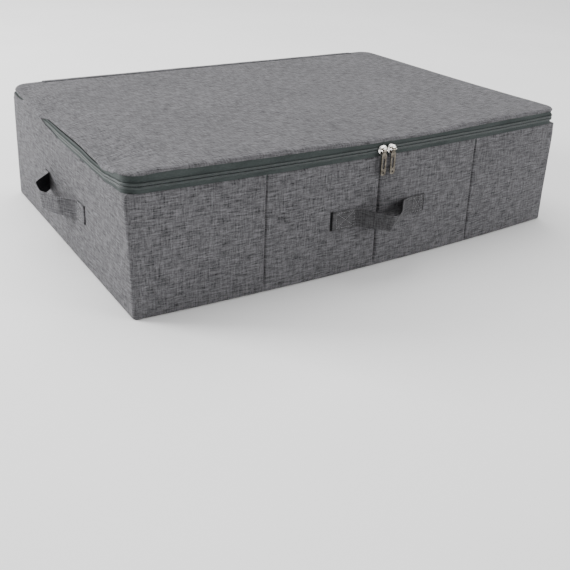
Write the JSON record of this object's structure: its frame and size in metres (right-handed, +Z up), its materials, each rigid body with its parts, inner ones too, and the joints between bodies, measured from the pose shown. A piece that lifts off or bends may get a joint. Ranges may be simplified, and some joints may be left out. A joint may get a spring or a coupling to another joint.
{
  "type": "under bed box",
  "caption": "Low rectangular cloth storage box with stiffened walls, a zip-around hinged lid, strap handles on the front and ends, and a lift-out base board.",
  "frame": {"origin": "centre of the flat underside of the base, on the surface the box stands on", "axes": "+X to the right along the front wall, +Y from the front to the back, +Z up"},
  "size_m": [0.7112, 0.4985, 0.17],
  "materials": {
    "cloth": "grey melange linen weave",
    "strap": "the same cloth folded into a strap",
    "lining": "thin non-woven lining",
    "board": "plain grey-brown fibreboard",
    "zip_tape": "fine woven slate tape",
    "coil": "nylon coil",
    "nickel": "bright nickel plate"
  },
  "bodies": {
    "box": {"base_cloth": "cloth", "front_cloth": "cloth", "back_cloth": "cloth", "left_cloth": "cloth", "right_cloth": "cloth", "front_board_1": "board", "front_board_2": "board", "front_board_3": "board", "front_board_4": "board", "back_board_1": "board", "back_board_2": "board", "back_board_3": "board", "back_board_4": "board", "left_board": "board", "right_board": "board", "front_lining": "lining", "back_lining": "lining", "left_lining": "lining", "right_lining": "lining", "base_lining": "lining", "lower_zip_tape": "zip_tape", "lower_zip_coil": "coil", "zip_end_left": "zip_tape", "zip_end_right": "zip_tape", "back_seam_welt": "cloth", "front_handle_end_1": "strap", "front_handle_end_2": "strap", "left_handle_end_1": "strap", "left_handle_end_2": "strap", "right_handle_end_1": "strap", "right_handle_end_2": "strap"},
    "lid": {"lid_cloth": "cloth", "lid_lining": "lining", "upper_zip_tape": "zip_tape", "upper_zip_coil": "coil"},
    "left_slider": {"left_slider": "nickel"},
    "right_slider": {"right_slider": "nickel"},
    "left_pull": {"left_pull": "nickel"},
    "right_pull": {"right_pull": "nickel"},
    "front_handle": {"front_handle_loop": "strap"},
    "left_handle": {"left_handle_loop": "strap"},
    "right_handle": {"right_handle_loop": "strap"},
    "base_board": {"base_board": "board", "base_board_sleeve": "lining"}
  },
  "joints": [
    {"name": "lid_hinge", "type": "hinge", "parent": "box", "child": "lid", "pos_m": [0, 0.2235, 0.1685], "axis": [-1, 0, 0], "range_deg": [0, 180]},
    {"name": "left_slider_travel", "type": "hinge", "parent": "box", "child": "left_slider", "pos_m": [0, 4.17004, 0.158], "axis": [0, 0, -1], "range_deg": [0, 3.75]},
    {"name": "right_slider_travel", "type": "hinge", "parent": "box", "child": "right_slider", "pos_m": [0, 4.17004, 0.158], "axis": [0, 0, 1], "range_deg": [0, 3.59]},
    {"name": "left_pull_swing", "type": "hinge", "parent": "left_slider", "child": "left_pull", "pos_m": [-0.001, -0.2428, 0.158], "axis": [-1, 0, 0], "range_deg": [0, 150]},
    {"name": "right_pull_swing", "type": "hinge", "parent": "right_slider", "child": "right_pull", "pos_m": [0.0133, -0.2428, 0.158], "axis": [-1, 0, 0], "range_deg": [0, 150]},
    {"name": "front_handle_swing", "type": "hinge", "parent": "box", "child": "front_handle", "pos_m": [0, -0.23795, 0.075], "axis": [-1, 0, 0], "range_deg": [-45, 45]},
    {"name": "left_handle_swing", "type": "hinge", "parent": "box", "child": "left_handle", "pos_m": [-0.32595, 0, 0.072], "axis": [0, 1, 0], "range_deg": [-45, 45]},
    {"name": "right_handle_swing", "type": "hinge", "parent": "box", "child": "right_handle", "pos_m": [0.32595, 0, 0.072], "axis": [0, -1, 0], "range_deg": [-45, 45]},
    {"name": "base_board_lift", "type": "slide", "parent": "box", "child": "base_board", "axis": [0, 0, -1], "range_m": [-0.14, 0]}
  ]
}
